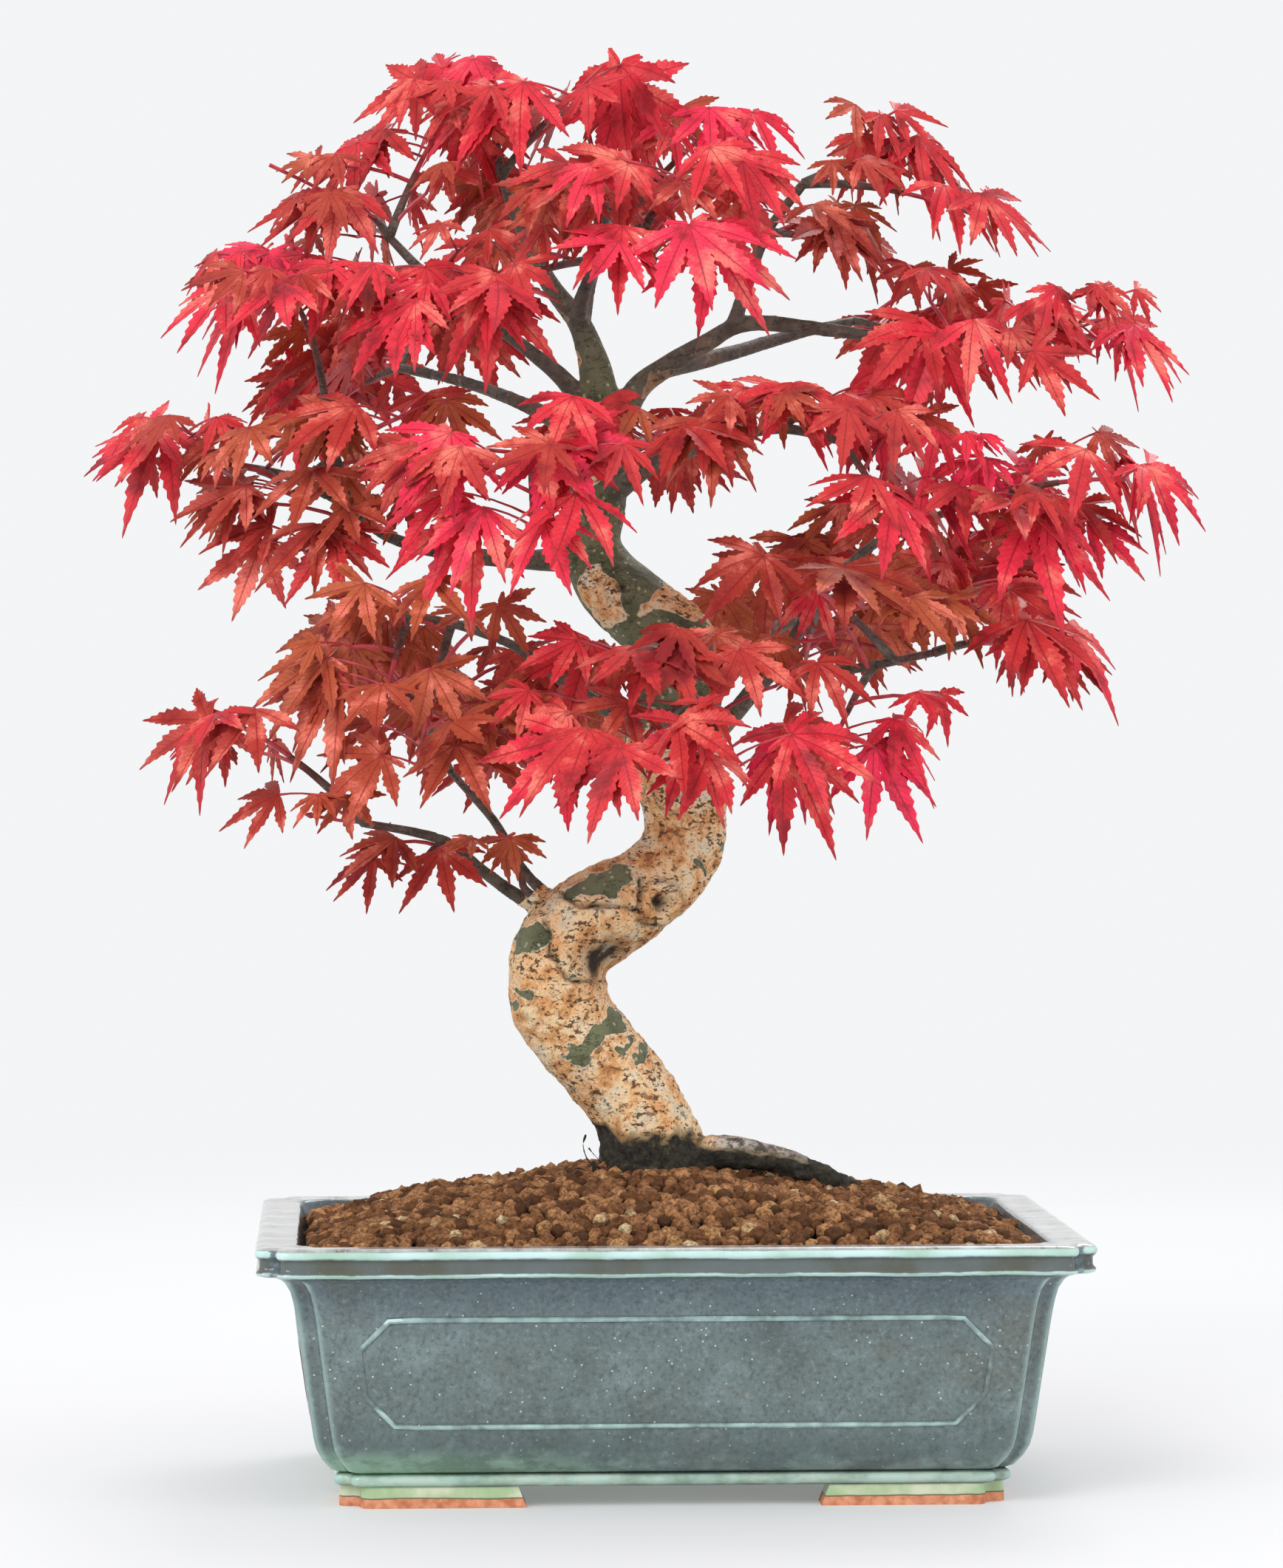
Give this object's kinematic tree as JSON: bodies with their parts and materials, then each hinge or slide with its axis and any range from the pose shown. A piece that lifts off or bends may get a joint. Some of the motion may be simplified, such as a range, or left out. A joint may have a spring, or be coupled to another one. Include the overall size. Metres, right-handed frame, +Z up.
{
  "type": "bonsai tree in a pot",
  "caption": "Red-leaved Japanese maple bonsai with a winding trunk, growing from granular soil in a rectangular glazed ceramic pot on corner feet.",
  "frame": {"origin": "on the surface the pot stands on, under the middle of the whole object's box", "axes": "+Z up; +X to the right when facing the pot's front; the front faces -Y"},
  "size_m": [0.339, 0.2714, 0.4633],
  "materials": {
    "glaze": "satin blue-green reduction glaze, pale turquoise at the edges, unglazed terracotta under the feet",
    "net": "black moulded plastic",
    "wire": "brown anodised",
    "granules": "dull fired clay granules with a few pale pumice grains",
    "bark": "flaky cream and tan bark with smooth grey-green patches",
    "young_leaf": "soft satin, bright crimson pink, slightly translucent",
    "leaf": "satin red, slightly translucent",
    "old_leaf": "matt brown red, slightly translucent"
  },
  "bodies": {
    "root": {"pot": "glaze", "drain_mesh_left": "net", "drain_mesh_right": "net", "mesh_clip_left": "wire", "mesh_clip_right": "wire", "soil": "granules", "tree": "bark", "shoot_01": "young_leaf", "shoot_02": "young_leaf", "shoot_03": "old_leaf", "shoot_04": "young_leaf", "shoot_05": "leaf", "shoot_06": "old_leaf", "shoot_07": "old_leaf", "shoot_08": "leaf", "shoot_09": "young_leaf", "shoot_10": "old_leaf", "shoot_11": "young_leaf", "shoot_12": "leaf", "shoot_13": "young_leaf", "shoot_14": "young_leaf", "shoot_15": "leaf", "shoot_16": "old_leaf", "shoot_17": "young_leaf", "shoot_18": "old_leaf", "shoot_19": "old_leaf", "shoot_20": "old_leaf", "shoot_21": "young_leaf", "shoot_22": "young_leaf", "shoot_23": "old_leaf", "shoot_24": "leaf", "shoot_25": "leaf", "shoot_26": "leaf", "shoot_27": "old_leaf", "shoot_28": "old_leaf", "shoot_29": "old_leaf", "shoot_30": "leaf", "shoot_31": "leaf", "shoot_32": "leaf", "shoot_33": "leaf", "shoot_34": "leaf", "shoot_35": "young_leaf", "shoot_36": "young_leaf", "shoot_37": "leaf", "shoot_38": "young_leaf", "shoot_39": "young_leaf", "shoot_40": "young_leaf", "shoot_41": "old_leaf", "shoot_42": "leaf", "shoot_43": "young_leaf", "shoot_44": "leaf", "shoot_45": "leaf", "shoot_46": "old_leaf", "shoot_47": "leaf", "shoot_48": "leaf", "shoot_49": "old_leaf", "shoot_50": "leaf", "shoot_51": "leaf", "shoot_52": "leaf", "shoot_53": "leaf"}
  },
  "joints": []
}
